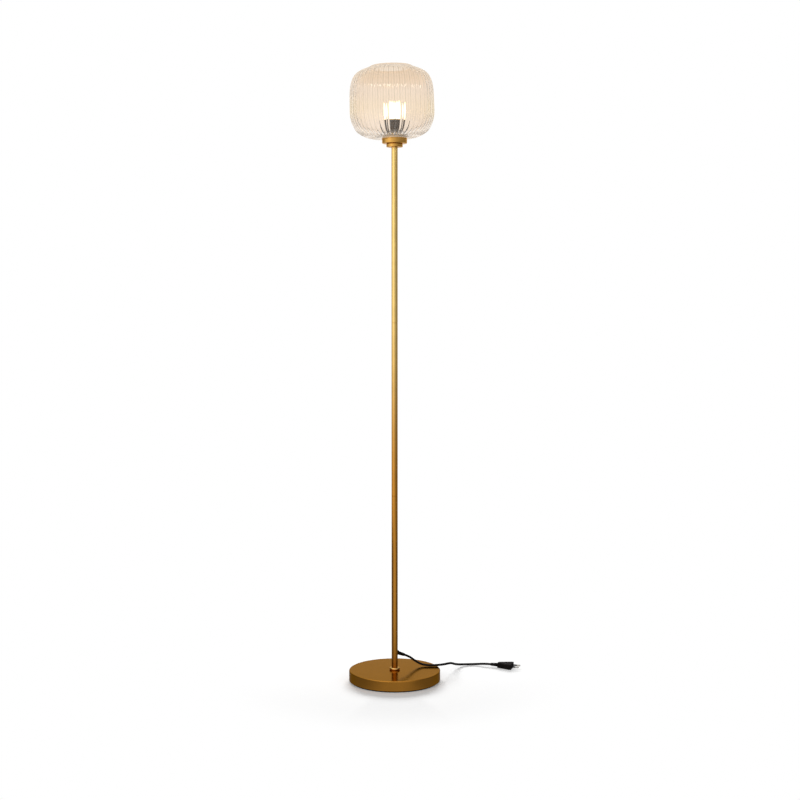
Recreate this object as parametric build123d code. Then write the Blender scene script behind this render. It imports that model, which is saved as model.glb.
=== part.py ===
from build123d import *
from math import cos, pi, radians, sin, tan
import os

os.makedirs("parts", exist_ok=True)

# A floor lamp: round weighted base, screwed pole in three tubes, ribbed glass shade open on top.
# Millimetres. The origin is the middle of the underside, +Z is up, -Y is the front and +X the right.
# "radius" values are radii, and heights named "..._height" or "..._length" run along Z unless said.

# Base
base_radius = 112.0
pad_height = 3.6
pad_inset = 5.0
cover_height = 24.4
cover_wall = 1.2
cover_edge_round = 2.2
weight_edge_round = 3.0
pocket_radius = 22.0
pocket_depth = 10.4

# Pole
pole_radius = 7.5
pole_wall = 1.0
section_length = 423.5
section_count = 3
seam_chamfer = 0.4
pole_collar_radius = 13.0
pole_collar_height = 6.0
pole_collar_round = 2.7
insert_length = 14.0

# M10 threaded tube, nuts and washers
thread_radius = 5.0
thread_bore_radius = 3.6
thread_reach = 11.0
nut_across_flats = 14.0
base_nut_height = 5.0
base_nut_drop = 1.0
cup_nut_height = 3.0
nut_corner_drop = 0.8
flat_washer_radius = 15.0
flat_washer_thickness = 1.5
spring_washer_radius = 8.3
spring_washer_thickness = 2.2
spring_washer_slit = 1.6
spring_washer_slant = 20.0
tooth_washer_radius = 9.0
tooth_washer_thickness = 0.8
tooth_count = 12
tooth_notch_radius = 0.8

# Head
head_collar_radius = 19.7
head_collar_height = 8.6
head_collar_round = 1.6
cup_radius = 30.2
cup_height = 13.2
cup_floor = 2.0
cup_round = 2.4
cup_rim = 1.5
cup_pocket_radius = 20.4
gasket_depth = 3.0
gasket_proud = 0.3

# Lampholder for a 27 mm screw cap
holder_height = 50.3
holder_cap_height = 13.5
holder_cap_radius = 19.5
holder_cap_wall = 2.0
holder_neck_radius = 7.5
holder_neck_height = 2.0
holder_neck_thread = 6.0
holder_dome_height = 9.0
holder_radius = 19.9
holder_bore_radius = 16.2
holder_ledge = 1.2
holder_spigot = 4.8
holder_lip = 3.2
holder_edge_round = 1.0
holder_ledge_height = 0.5
mouth_radius = 14.6
block_radius = 16.0
block_height = 6.0
terminal_offset = 9.0
terminal_size = (5.6, 10.0, 5.0)
terminal_roof = 1.0
terminal_hole_offset = 2.5
terminal_screw_radius = 1.5
terminal_head_radius = 2.2
terminal_head_height = 1.6
terminal_slot = 0.6
rivet_radius = 1.0
rivet_length = 1.0
shell_radius = 14.0
shell_wall = 0.4
shell_height = 23.5
shell_hole_radius = 9.0
tongue_width = 5.0
tongue_thickness = 0.5
tongue_heel = 1.6
tongue_toe = 3.0
tongue_slant = 2.0

# Ring that clamps the glass on the lampholder's outer thread
ring_radius = 29.0
ring_height = 8.0
ring_flange = 2.6
ring_neck_radius = 24.5
ring_notch_count = 12
ring_notch_radius = 1.2

# Glass shade: its body stands to the left of its hole and leans to the left by a small angle
shade_radius = 102.2
shade_height = 173.2
shade_sideways = 4.5
shade_lean = 1.3
shade_drop = 0.9
shade_wall = 3.2
shade_floor = 5.4
shade_seat_floor = 3.8
shade_seat_margin = 1.2
shade_hole_radius = 21.2
shade_foot_radius = 38.0
shade_neck_radius = 58.0
shade_lip_rise = 4.4
shade_lip_radius = 50.5
shade_lip_wall = 3.0
shade_lip_bevel = 0.9
shade_shoulder_thickness = 3.0
shade_shoulder_drop = 1.8
shade_neck_slope = 0.42
rib_count = 48
rib_depth = 1.5
rib_fade = 0.4
rib_stations = 17
# The belly between foot and neck, as shares of the widest radius and of the neck's height
shade_belly = [
    (0.560, 0.009),
    (0.735, 0.052),
    (0.858, 0.108),
    (0.928, 0.178),
    (0.982, 0.268),
    (1.000, 0.470),
    (0.990, 0.680),
    (0.948, 0.812),
    (0.868, 0.902),
    (0.730, 0.962),
]

# Bulb with a 45 mm globe
bulb_length = 74.0
bulb_radius = 22.5
bulb_wall = 0.9
bulb_neck_radius = 12.2
bulb_cap_radius = 13.2
bulb_cap_wall = 0.4
bulb_cap_start = 5.0
bulb_cap_end = 27.0
bulb_contact_radius = 4.5
bulb_contact_height = 1.2
bulb_contact_margin = 1.0
bulb_insulator_collar = 2.0
bulb_glass_start = 22.0
bulb_tangent_drop = 15.5
bulb_throat_rise = 1.0
bulb_depth = 28.2
stem_radius = 2.4
stem_flare_height = 2.0
stem_height = 19.0
stem_disc_height = 1.0
filament_count = 4
filament_radius = 0.8
filament_length = 24.0
filament_circle = 6.5

# Cord, cable and wires
cord_radius = 2.8
wire_radius = 1.1
wire_offset = 1.3
wire_bend = 1.2
wire_rise = 2.0
wire_spread_rise = 4.2
cable_end_rise = 1.0
cable_bend = 8.0
exit_height = 72.3
exit_turn = 40.0
exit_droop = 22.0
cord_first_run = 18.0
cord_last_run = 17.0
bush_length = 32.0
bush_spigot_radius = 4.2
bush_head_radius = 5.8
bush_head_end = 11.6
bush_head_chamfer = 1.0
bush_tail_start_radius = 4.6
bush_tail_end_radius = 3.7
bush_inner_reach = 5.6
groove_count = 5
groove_width = 1.4
groove_floor = 0.2

# Plug: flat two-pin type
plug_heading = -18.0
plug_tail_length = 20.0
plug_tail_radius = 5.0
plug_tail_end_radius = 3.7
plug_length = 36.0
plug_thickness = 13.7
plug_face_half_width = 17.6
plug_waist_half_width = 12.0
plug_rear_half_width = 5.6
plug_face_length = 6.0
plug_edge_round = 2.4
plug_tail_overlap = 2.0
plug_groove_floor = 0.4
pin_radius = 2.0
pin_spacing = 18.6
pin_length = 19.0
pin_root = 4.0
pin_core_radius = 1.5
pin_end_round = 1.6
sleeve_length = 10.0
sleeve_recess = 0.05

# Clearances
thread_gap = 0.1  # radial, between a thread and its tapped bore
clear_gap = 0.2  # radial, round a threaded tube in a plain hole
fixed_gap = 0.02  # radial, round a part fixed in a bore
soft_gap = 0.3  # between parts that move against each other
hole_gap = 0.15  # radial, round the bush in the pole's hole

# Heights that follow from the sizes above
base_top = pad_height + cover_height
pole_foot = base_top + pole_collar_height
seams = [pole_foot + section_length * step for step in range(section_count + 1)]
pole_top = seams[-1]
cup_bottom = pole_top + head_collar_height
cup_top = cup_bottom + cup_height
shade_seat = cup_top + gasket_proud
shade_bottom = shade_seat - shade_drop
shade_neck_height = shade_height - shade_lip_rise
holder_bottom = cup_bottom + cup_floor + tooth_washer_thickness + cup_nut_height
holder_top = holder_bottom + holder_height
block_bottom = holder_bottom + holder_cap_height + holder_ledge_height
block_top = block_bottom + block_height
bulb_tip = holder_top - bulb_depth
ring_bottom = shade_seat + shade_seat_floor + soft_gap
insert_radius = pole_radius - pole_wall - fixed_gap
stud_radius = thread_radius - thread_gap
clear_radius = stud_radius + clear_gap + thread_gap


# Shared operations
def turned(*outline):
    """Solid of revolution about Z from a closed outline of (radius, height) points."""
    return revolve(Plane.XZ * make_face(Polyline(*outline, close=True)), Axis.Z)


def tube(outer, inner, bottom, top):
    """Plain ring or tube between two heights."""
    return turned((inner, bottom), (outer, bottom), (outer, top), (inner, top))


def rod(radius, bottom, top, x=0.0, y=0.0):
    """Plain round bar along Z."""
    return Pos(x, y, (bottom + top) / 2) * Cylinder(radius, top - bottom)


def rims(solid, radius, height):
    """Circular edges of a turned solid at one radius and height."""
    circles = solid.edges().filter_by(GeomType.CIRCLE)
    return [
        edge
        for edge in circles
        if abs(edge.radius - radius) < 0.01 and abs(edge.arc_center.Z - height) < 0.01
    ]


def hexagon_nut(across_flats, hole, bottom, height):
    """Six-sided nut with both ends of its corners turned off."""
    blank = Pos(0, 0, bottom) * extrude(RegularPolygon(across_flats / 2, 6, major_radius=False), height)
    corner = across_flats / 2 / cos(radians(30))
    crown = turned(
        (0, bottom),
        (across_flats / 2, bottom),
        (corner, bottom + nut_corner_drop),
        (corner, bottom + height - nut_corner_drop),
        (across_flats / 2, bottom + height),
        (0, bottom + height),
    )
    return (blank & crown) - rod(hole, bottom - 1, bottom + height + 1)


def along(points, radii, section_radius):
    """Round bar of one section along straight runs joined by tangent arcs, and its length."""
    path = FilletPolyline(*points, radius=radii)
    start = Plane(origin=path @ 0, z_dir=path % 0)
    return sweep(start * Circle(section_radius), path=path), path.length


def save(solid, name):
    """Write one piece to its own file."""
    solid.label = name
    export_step(solid, f"parts/{name}.step")


# Base: cover, cast weight, pad, and the fastening under the weight
base_cover = turned(
    (clear_radius, base_top - cover_wall),
    (clear_radius, base_top),
    (base_radius, base_top),
    (base_radius, pad_height),
    (base_radius - cover_wall, pad_height),
    (base_radius - cover_wall, base_top - cover_wall),
)
base_cover = fillet(rims(base_cover, base_radius, base_top), cover_edge_round)
base_cover = fillet(
    rims(base_cover, base_radius - cover_wall, base_top - cover_wall), cover_edge_round - cover_wall
)
save(base_cover, "base_cover")

weight_radius = base_radius - cover_wall - soft_gap
pocket_top = pad_height + pocket_depth
base_weight = turned(
    (clear_radius, base_top - cover_wall),
    (weight_radius, base_top - cover_wall),
    (weight_radius, pad_height),
    (pocket_radius, pad_height),
    (pocket_radius, pocket_top),
    (clear_radius, pocket_top),
)
base_weight = fillet(rims(base_weight, weight_radius, base_top - cover_wall), weight_edge_round)
save(base_weight, "base_weight")

pad_radius = base_radius - pad_inset
save(tube(pad_radius, pocket_radius, 0, pad_height), "base_pad")

washer_bottom = pocket_top - flat_washer_thickness
spring_bottom = washer_bottom - spring_washer_thickness
nut_bottom = spring_bottom - base_nut_height
save(tube(flat_washer_radius, clear_radius, washer_bottom, pocket_top), "base_washer")

slit = Pos(spring_washer_radius, 0, spring_bottom) * Rot(spring_washer_slant, 0, 0) * Box(
    2 * spring_washer_radius, spring_washer_slit, 4 * spring_washer_thickness
)
spring_washer = tube(spring_washer_radius, clear_radius, spring_bottom, washer_bottom) - slit
save(spring_washer, "base_spring_washer")

save(hexagon_nut(nut_across_flats, thread_radius, nut_bottom, base_nut_height), "base_nut")
save(
    tube(stud_radius, thread_bore_radius, nut_bottom - base_nut_drop, pole_foot + thread_reach), "base_stud"
)

# Pole: foot collar, three tubes with their inserts, and the nipples that join them
collar_outline = tube(pole_collar_radius, clear_radius, base_top, pole_foot)
pole_collar = fillet(
    rims(collar_outline, pole_collar_radius, base_top) + rims(collar_outline, pole_collar_radius, pole_foot),
    pole_collar_round,
)
save(pole_collar, "pole_collar")

exit_axis = Vector(
    cos(radians(exit_turn)) * cos(radians(exit_droop)),
    sin(radians(exit_turn)) * cos(radians(exit_droop)),
    -sin(radians(exit_droop)),
)
exit_plane = Plane(origin=(0, 0, exit_height), z_dir=exit_axis)
exit_hole = exit_plane * Pos(0, 0, pole_radius) * Cylinder(bush_spigot_radius + hole_gap, 2 * pole_radius)

for name, bottom in zip(("pole_lower", "pole_middle", "pole_upper"), seams):
    section = tube(pole_radius, pole_radius - pole_wall, bottom, bottom + section_length)
    ends = rims(section, pole_radius, bottom) + rims(section, pole_radius, bottom + section_length)
    section = chamfer(ends, seam_chamfer)
    if bottom < exit_height < bottom + section_length:
        section -= exit_hole
    save(section, name)

insert_bottoms = {
    "insert_foot": seams[0],
    "insert_lower_top": seams[1] - insert_length,
    "insert_middle_bottom": seams[1],
    "insert_middle_top": seams[2] - insert_length,
    "insert_upper_bottom": seams[2],
    "insert_head": seams[3] - insert_length,
}
for name, bottom in insert_bottoms.items():
    save(tube(insert_radius, thread_radius, bottom, bottom + insert_length), name)

for name, seam in (("nipple_lower", seams[1]), ("nipple_upper", seams[2])):
    save(tube(stud_radius, thread_bore_radius, seam - thread_reach, seam + thread_reach), name)

head_nipple_top = holder_bottom + holder_neck_thread
save(tube(stud_radius, thread_bore_radius, pole_top - thread_reach, head_nipple_top), "nipple_head")

# Head: collar, cup, its washer and nut, and the gasket under the glass
head_collar = tube(head_collar_radius, clear_radius, pole_top, cup_bottom)
head_collar = fillet(
    rims(head_collar, head_collar_radius, pole_top) + rims(head_collar, head_collar_radius, cup_bottom),
    head_collar_round,
)
save(head_collar, "head_collar")

cup_bore = cup_radius - cup_rim
gasket_seat = cup_top - gasket_depth
shade_cup = turned(
    (clear_radius, cup_bottom),
    (cup_radius, cup_bottom),
    (cup_radius, cup_top),
    (cup_bore, cup_top),
    (cup_bore, gasket_seat),
    (cup_pocket_radius, gasket_seat),
    (cup_pocket_radius, cup_bottom + cup_floor),
    (clear_radius, cup_bottom + cup_floor),
)
shade_cup = fillet(rims(shade_cup, cup_radius, cup_bottom), cup_round)
shade_cup = fillet(rims(shade_cup, cup_radius, cup_top), cup_rim / 2)
save(shade_cup, "shade_cup")

save(tube(cup_bore - soft_gap, cup_pocket_radius + soft_gap, gasket_seat, shade_seat), "shade_gasket")

washer_top = cup_bottom + cup_floor + tooth_washer_thickness
cup_washer = tube(tooth_washer_radius, clear_radius, cup_bottom + cup_floor, washer_top)
notch = rod(tooth_notch_radius, cup_bottom, washer_top + 1)
cup_washer -= PolarLocations(tooth_washer_radius, tooth_count) * notch
save(cup_washer, "cup_washer")
save(hexagon_nut(nut_across_flats, thread_radius, washer_top, cup_nut_height), "cup_nut")

# Lampholder: cap, body, contact block, terminals and contacts
cap_top = holder_bottom + holder_cap_height
cap_inner_radius = holder_cap_radius - holder_cap_wall
holder_cap = turned(
    (thread_radius, holder_bottom),
    (holder_neck_radius, holder_bottom),
    (holder_neck_radius, holder_bottom + holder_neck_height),
    (holder_cap_radius, holder_bottom + holder_dome_height - holder_cap_wall),
    (holder_cap_radius, cap_top),
    (cap_inner_radius, cap_top),
    (cap_inner_radius, holder_bottom + holder_dome_height - holder_cap_wall / 2),
    (holder_neck_radius, holder_bottom + holder_neck_height + holder_cap_wall),
    (holder_neck_radius, holder_bottom + holder_neck_thread),
    (thread_radius, holder_bottom + holder_neck_thread),
)
save(holder_cap, "holder_cap")

ledge_radius = holder_bore_radius - holder_ledge
holder_body = turned(
    (ledge_radius, cap_top - holder_spigot),
    (cap_inner_radius - clear_gap, cap_top - holder_spigot),
    (cap_inner_radius - clear_gap, cap_top),
    (holder_radius, cap_top),
    (holder_radius, holder_top),
    (mouth_radius, holder_top),
    (mouth_radius, holder_top - holder_lip),
    (holder_bore_radius, holder_top - holder_lip),
    (holder_bore_radius, block_bottom),
    (ledge_radius, block_bottom),
)
holder_body = fillet(rims(holder_body, holder_radius, holder_top), holder_edge_round)
save(holder_body, "holder_body")

terminal_x, terminal_y, terminal_z = terminal_size
pocket = Box(terminal_x + 2 * clear_gap, terminal_y + 2 * clear_gap, terminal_z)
rivet_top = block_bottom + terminal_z
contact_block = rod(block_radius, block_bottom, block_top)
for side in (-1, 1):
    contact_block -= Pos(side * terminal_offset, 0, block_bottom + terminal_z / 2) * pocket
rivet_places = {1: shell_hole_radius - 2 * rivet_radius, -1: -(shell_hole_radius + 2 * rivet_radius)}
for x in rivet_places.values():
    contact_block -= rod(rivet_radius + thread_gap, rivet_top - rivet_length, block_top + rivet_length, x)
save(contact_block, "contact_block")

hole_top = block_bottom + terminal_z - terminal_roof
wire_top = hole_top - clear_gap
head_bottom = block_bottom - terminal_head_height
terminals = []
screws = []
for side in (-1, 1):
    x = side * terminal_offset
    y = terminal_hole_offset
    block = Pos(x, 0, block_bottom + terminal_z / 2) * Box(*terminal_size)
    block -= rod(wire_radius, head_bottom, hole_top, x, -y)
    block -= rod(terminal_screw_radius + thread_gap, head_bottom, hole_top, x, y)
    terminals.append(block)
    screw = rod(terminal_screw_radius, block_bottom, wire_top, x, y)
    screw += rod(terminal_head_radius, head_bottom, block_bottom, x, y)
    screw -= Pos(x, y, head_bottom) * Box(3 * terminal_head_radius, terminal_slot, terminal_head_height)
    screws.append(screw)
save(Compound(terminals), "terminals")
save(Compound(screws), "terminal_screws")

shell_top = block_top + shell_height
screw_shell = turned(
    (shell_hole_radius, block_top),
    (shell_radius, block_top),
    (shell_radius, shell_top),
    (shell_radius - shell_wall, shell_top),
    (shell_radius - shell_wall, block_top + shell_wall),
    (shell_hole_radius, block_top + shell_wall),
)
screw_shell += rod(rivet_radius, rivet_top, block_top, rivet_places[-1])
save(screw_shell, "screw_shell")

tongue_rise = bulb_tip - soft_gap - block_top
tongue_foot = rivet_places[1]
tongue_bend = tongue_foot - tongue_toe
tongue_side = make_face(
    Polyline(
        (tongue_foot + tongue_heel, block_top),
        (tongue_foot + tongue_heel, block_top + tongue_thickness),
        (tongue_bend, block_top + tongue_thickness),
        (tongue_bend - tongue_slant, block_top + tongue_rise),
        (-tongue_toe, block_top + tongue_rise),
        (-tongue_toe, block_top + tongue_rise - tongue_thickness),
        (tongue_bend - tongue_slant - tongue_thickness, block_top + tongue_rise - tongue_thickness),
        (tongue_bend - tongue_thickness, block_top),
        close=True,
    )
)
centre_contact = extrude(Plane.XZ * tongue_side, tongue_width / 2, both=True)
centre_contact += rod(rivet_radius, rivet_top, block_top, tongue_foot)
save(centre_contact, "centre_contact")

# Ring on the lampholder's thread: a flange on the glass and a narrower neck with grip notches
ring_bore = holder_radius + soft_gap + thread_gap
ring_top = ring_bottom + ring_height
shade_ring = turned(
    (ring_bore, ring_bottom),
    (ring_radius, ring_bottom),
    (ring_radius, ring_bottom + ring_flange),
    (ring_neck_radius, ring_bottom + ring_flange),
    (ring_neck_radius, ring_top),
    (ring_bore, ring_top),
)
ring_notch = rod(ring_notch_radius, ring_bottom - 1, ring_bottom + ring_flange + 1)
shade_ring -= PolarLocations(ring_radius, ring_notch_count) * ring_notch
save(shade_ring, "shade_ring")

# Glass shade: a ribbed body of straight bands between lobed sections, hollowed by a smooth cavity
meridian = Spline(
    (shade_foot_radius, 0, 0),
    *[(share_r * shade_radius, 0, share_z * shade_neck_height) for share_r, share_z in shade_belly],
    (shade_neck_radius, 0, shade_neck_height),
    tangents=((1, 0, 0), (-1, 0, shade_neck_slope)),
)


def rib_section(radius, height, depth):
    """Closed ring of outward arcs, one to a rib, that meet in sharp valleys."""
    half_rib = pi / rib_count
    valley = radius - depth
    arcs = []
    for step in range(rib_count):
        middle = 2 * half_rib * step
        arcs.append(
            ThreePointArc(
                (valley * cos(middle - half_rib), valley * sin(middle - half_rib), height),
                (radius * cos(middle), radius * sin(middle), height),
                (valley * cos(middle + half_rib), valley * sin(middle + half_rib), height),
            )
        )
    return Face(Wire(arcs))


sections = []
cavity_points = []
for step in range(rib_stations):
    share = step / (rib_stations - 1)
    outside = meridian @ share
    slope = meridian % share
    fade = rib_fade + (1 - rib_fade) * sin(pi * share) ** 0.5
    sections.append(rib_section(outside.X, outside.Z, rib_depth * fade))
    wall = shade_wall + (shade_floor - shade_wall) * max(0.0, 1 - 3 * share)
    cavity_points.append((outside.X - slope.Z * wall, outside.Z + slope.X * wall))

mouth_inner = shade_lip_radius - shade_lip_wall
neck_foot = shade_neck_height - shade_shoulder_thickness
neck_radius = shade_neck_radius - rib_depth * rib_fade
shoulder_top = shade_height - shade_shoulder_drop
neck = turned(
    (shade_lip_radius, shoulder_top),
    (shade_lip_radius, shade_height),
    (mouth_inner, shade_height),
    (mouth_inner, neck_foot),
    (neck_radius, neck_foot),
    (neck_radius, shade_neck_height),
)
lip_edges = rims(neck, shade_lip_radius, shade_height) + rims(neck, mouth_inner, shade_height)
neck = chamfer(lip_edges, shade_lip_bevel)

cavity_top = shade_height + shade_lip_rise
cavity = turned(
    *cavity_points,
    (mouth_inner, cavity_points[-1][1] + soft_gap),
    (mouth_inner, cavity_top),
    (0, cavity_top),
    (0, shade_floor),
)
shade_place = Pos(-shade_sideways, 0, shade_bottom) * Rot(0, -shade_lean, 0)
glass_shade = shade_place * ((loft(sections, ruled=True) + neck) - cavity)
glass_shade -= rod(cup_radius + shade_seat_margin, cup_bottom, shade_seat)
glass_shade -= rod(ring_radius + shade_seat_margin, shade_seat + shade_seat_floor, ring_top)
glass_shade -= rod(shade_hole_radius, cup_bottom, ring_top)
save(glass_shade, "glass_shade")

# Bulb: end contact, insulator, screw cap, globe, stem and filaments
bulb_cap_bottom = bulb_tip + bulb_cap_start
bulb_cap_top = bulb_tip + bulb_cap_end
contact_top = bulb_tip + bulb_contact_height
save(
    fillet(
        rims(rod(bulb_contact_radius, bulb_tip, contact_top), bulb_contact_radius, bulb_tip),
        bulb_contact_height / 2,
    ),
    "bulb_contact",
)
cap_bore = bulb_cap_radius - bulb_cap_wall
save(
    turned(
        (0, contact_top),
        (bulb_contact_radius + bulb_contact_margin, contact_top),
        (cap_bore - fixed_gap, bulb_cap_bottom),
        (cap_bore - fixed_gap, bulb_cap_bottom + bulb_insulator_collar),
        (0, bulb_cap_bottom + bulb_insulator_collar),
    ),
    "bulb_insulator",
)
save(tube(bulb_cap_radius, cap_bore, bulb_cap_bottom, bulb_cap_top), "bulb_cap")

globe_centre = bulb_tip + bulb_length - bulb_radius
tangent_radius = (bulb_radius**2 - bulb_tangent_drop**2) ** 0.5


def globe_outline(shrink):
    """Half outline of the bulb's glass, moved inwards by one wall where shrink is the wall."""
    sphere = bulb_radius - shrink
    scale = sphere / bulb_radius
    meet = (tangent_radius * scale, globe_centre - bulb_tangent_drop * scale)
    throat_radius = bulb_neck_radius - shrink
    foot = (throat_radius, bulb_tip + bulb_glass_start)
    throat = (throat_radius, bulb_cap_top + bulb_throat_rise)
    return [
        Line(foot, throat),
        Spline(throat, meet, tangents=((0, 1), (bulb_tangent_drop, tangent_radius))),
        ThreePointArc(meet, (sphere, globe_centre), (0, globe_centre + sphere)),
    ]


def globe_solid(shrink):
    """Full body inside one outline of the bulb's glass."""
    foot = bulb_tip + bulb_glass_start
    crown = globe_centre + bulb_radius - shrink
    centre_line = Polyline((0, crown), (0, foot), (bulb_neck_radius - shrink, foot))
    return revolve(Plane.XZ * make_face([*globe_outline(shrink), centre_line]), Axis.Z)


save(globe_solid(0) - globe_solid(bulb_wall), "bulb_glass")

stem_bottom = bulb_tip + bulb_glass_start
stem_top = stem_bottom + stem_height
bulb_stem = rod(bulb_neck_radius - bulb_wall - fixed_gap, stem_bottom, stem_bottom + stem_flare_height)
bulb_stem += rod(stem_radius, stem_bottom + stem_flare_height, stem_top)
filament_bottom = stem_top + stem_disc_height
bulb_stem += rod(filament_circle + 2 * filament_radius, stem_top, filament_bottom)
save(bulb_stem, "bulb_stem")
filament = rod(filament_radius, filament_bottom, filament_bottom + filament_length)
filaments = PolarLocations(filament_circle, filament_count) * filament
save(Compound(filaments), "bulb_filaments")

# Bush in the pole's side: a spigot through the wall, a head outside and a grooved tapering tail
spigot = Pos(0, 0, (bush_inner_reach + bush_head_end) / 2) * Cylinder(
    bush_spigot_radius, bush_head_end - bush_inner_reach
)
head = turned(
    (0, 0),
    (bush_head_radius, 0),
    (bush_head_radius, bush_head_end - bush_head_chamfer),
    (bush_head_radius - bush_head_chamfer, bush_head_end),
    (bush_tail_start_radius, bush_head_end),
    (bush_tail_end_radius, bush_length),
    (0, bush_length),
)
groove_step = (bush_length - bush_head_end) / (groove_count + 1)
for step in range(groove_count):
    start = bush_head_end + groove_step * (step + 1) - groove_width / 2
    head -= tube(bush_head_radius, bush_tail_end_radius - groove_floor, start, start + groove_width)
pole_core = rod(pole_radius, exit_height - bush_length, exit_height + bush_length)
cord_bush = (exit_plane * head) - pole_core + (exit_plane * spigot)
cord_bush -= exit_plane * Cylinder(cord_radius + thread_gap, 3 * bush_length)
save(cord_bush, "cord_bush")

# Cable inside the pole, from the bush's end up to the lampholder's cap, and its two wires
cord_start = (exit_plane * Pos(0, 0, bush_length)).position
cable_top = head_nipple_top + cable_end_rise
inner_cable, cable_length = along(
    [tuple(cord_start), (0, 0, exit_height), (0, 0, cable_top)], cable_bend, cord_radius
)
save(inner_cable, "inner_cable")

for name, side in (("wire_live", 1), ("wire_neutral", -1)):
    wire_points = [
        (side * wire_offset, 0, cable_top),
        (side * wire_offset, 0, cable_top + wire_rise),
        (side * terminal_offset, -terminal_hole_offset, cable_top + wire_spread_rise),
        (side * terminal_offset, -terminal_hole_offset, wire_top),
    ]
    save(along(wire_points, wire_bend, wire_radius)[0], name)

# Free cord: over the base's top, over its rim at the right, down to the floor behind, and to the plug.
# The points are the corners of its runs, chosen by eye. It leaves the bush and enters the plug straight.
plug_axis = Vector(cos(radians(plug_heading)), sin(radians(plug_heading)), 0)
plug_entry = Vector(245.0, 133.0, 7.0)
cord_points = [
    tuple(cord_start),
    tuple(cord_start + exit_axis * cord_first_run),
    (50.5, 34.5, 41.0),
    (66.0, 32.5, 32.6),
    (84.0, 28.0, 32.0),
    (102.5, 26.5, 34.6),
    (120.5, 34.0, 35.0),
    (134.0, 51.5, 31.0),
    (142.5, 77.0, 24.5),
    (151.0, 106.0, 14.5),
    (164.0, 134.0, 6.4),
    (183.0, 148.5, 3.4),
    (206.0, 150.5, 3.2),
    tuple(plug_entry - plug_axis * cord_last_run),
    tuple(plug_entry),
]


def corner_radii(points):
    """Largest radius that each corner's two runs allow, with a tenth of the shorter run to spare."""
    radii = []
    for before, corner, after in zip(points, points[1:], points[2:]):
        run_in = Vector(corner) - Vector(before)
        run_out = Vector(after) - Vector(corner)
        half_turn = radians(run_in.get_angle(run_out)) / 2
        radii.append(0.45 * min(run_in.length, run_out.length) / tan(half_turn))
    return radii


cord_radii = corner_radii(cord_points)
power_cord, cord_length = along(cord_points, cord_radii, cord_radius)
save(power_cord, "power_cord")
section_area = pi * cord_radius**2
print("cord length", round(cord_length, 1), "radii", [round(value) for value in cord_radii])
print("cord volume over section times length", round(power_cord.volume / section_area / cord_length, 4))
print("cable volume over section times length", round(inner_cable.volume / section_area / cable_length, 4))

# Plug on the cord's end: moulded tail and body, two pins and their sleeves
plug_plane = Plane(origin=plug_entry, x_dir=plug_axis, z_dir=(0, 0, 1))
face_x = plug_tail_length + plug_length
shoulder_x = face_x - plug_face_length
rear_x = plug_tail_length - plug_tail_overlap
waist_x = (plug_tail_length + shoulder_x) / 2
side_edges = []
for side in (-1, 1):
    side_edges += [
        ThreePointArc(
            (rear_x, side * plug_rear_half_width),
            (waist_x, side * plug_waist_half_width),
            (shoulder_x, side * plug_face_half_width),
        ),
        Line((shoulder_x, side * plug_face_half_width), (face_x, side * plug_face_half_width)),
    ]
end_edges = [
    Line((x, -half), (x, half))
    for x, half in ((rear_x, plug_rear_half_width), (face_x, plug_face_half_width))
]
plug_body = extrude(make_face([*side_edges, *end_edges]), plug_thickness / 2, both=True)
plug_body = fillet(plug_body.edges().filter_by(Plane.XY).sort_by(Axis.X)[:-2], plug_edge_round)
tail = turned(
    (0, 0),
    (plug_tail_end_radius, 0),
    (plug_tail_radius, plug_tail_length),
    (0, plug_tail_length),
)
tail_step = plug_tail_length / (groove_count + 1)
for step in range(groove_count):
    start = tail_step * (step + 1) - groove_width / 2
    tail -= tube(2 * plug_tail_radius, cord_radius + plug_groove_floor, start, start + groove_width)
plug_body += Rot(0, 90, 0) * tail
pins = []
sleeves = []
for side in (-1, 1):
    place = Pos(face_x, side * pin_spacing / 2, 0) * Rot(0, 90, 0)
    plug_body -= place * rod(pin_core_radius + fixed_gap, -pin_root, sleeve_length)
    pin = rod(pin_core_radius, -pin_root, sleeve_length) + rod(pin_radius, sleeve_length, pin_length)
    pin = fillet(rims(pin, pin_radius, pin_length), pin_end_round)
    pins.append(plug_plane * place * pin)
    sleeve = tube(pin_radius - sleeve_recess, pin_core_radius + fixed_gap, 0, sleeve_length)
    sleeves.append(plug_plane * place * sleeve)
save(plug_plane * plug_body, "plug_body")
save(Compound(pins), "plug_pins")
save(Compound(sleeves), "plug_sleeves")
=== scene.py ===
"""Looks of a glass floor lamp: finishes, threads, ribbed glass, lit bulb, mains cord and studio."""

import logging
from dataclasses import dataclass, field
from enum import Enum
from math import cos, hypot, pi, radians, sin

import bpy
import numpy as np
from mathutils import Euler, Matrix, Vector


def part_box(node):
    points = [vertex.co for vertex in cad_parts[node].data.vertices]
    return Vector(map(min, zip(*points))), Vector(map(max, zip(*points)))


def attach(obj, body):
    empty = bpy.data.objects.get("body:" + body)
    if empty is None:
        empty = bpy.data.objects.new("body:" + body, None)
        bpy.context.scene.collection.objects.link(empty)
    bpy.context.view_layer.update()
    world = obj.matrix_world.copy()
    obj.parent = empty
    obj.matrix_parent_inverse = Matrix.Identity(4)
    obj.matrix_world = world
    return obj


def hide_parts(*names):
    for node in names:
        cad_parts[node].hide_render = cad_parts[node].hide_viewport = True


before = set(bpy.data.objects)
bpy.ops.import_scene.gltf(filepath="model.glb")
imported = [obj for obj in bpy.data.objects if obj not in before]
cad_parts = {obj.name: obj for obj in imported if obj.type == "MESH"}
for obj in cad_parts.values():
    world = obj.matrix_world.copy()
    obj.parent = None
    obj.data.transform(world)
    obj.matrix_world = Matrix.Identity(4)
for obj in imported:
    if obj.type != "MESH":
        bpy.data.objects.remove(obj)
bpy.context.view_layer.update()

log = logging.getLogger("lamp")

Colour = tuple[float, float, float]
Point = tuple[float, float, float]
Span = tuple[float, float]
Socket = bpy.types.NodeSocket


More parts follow.
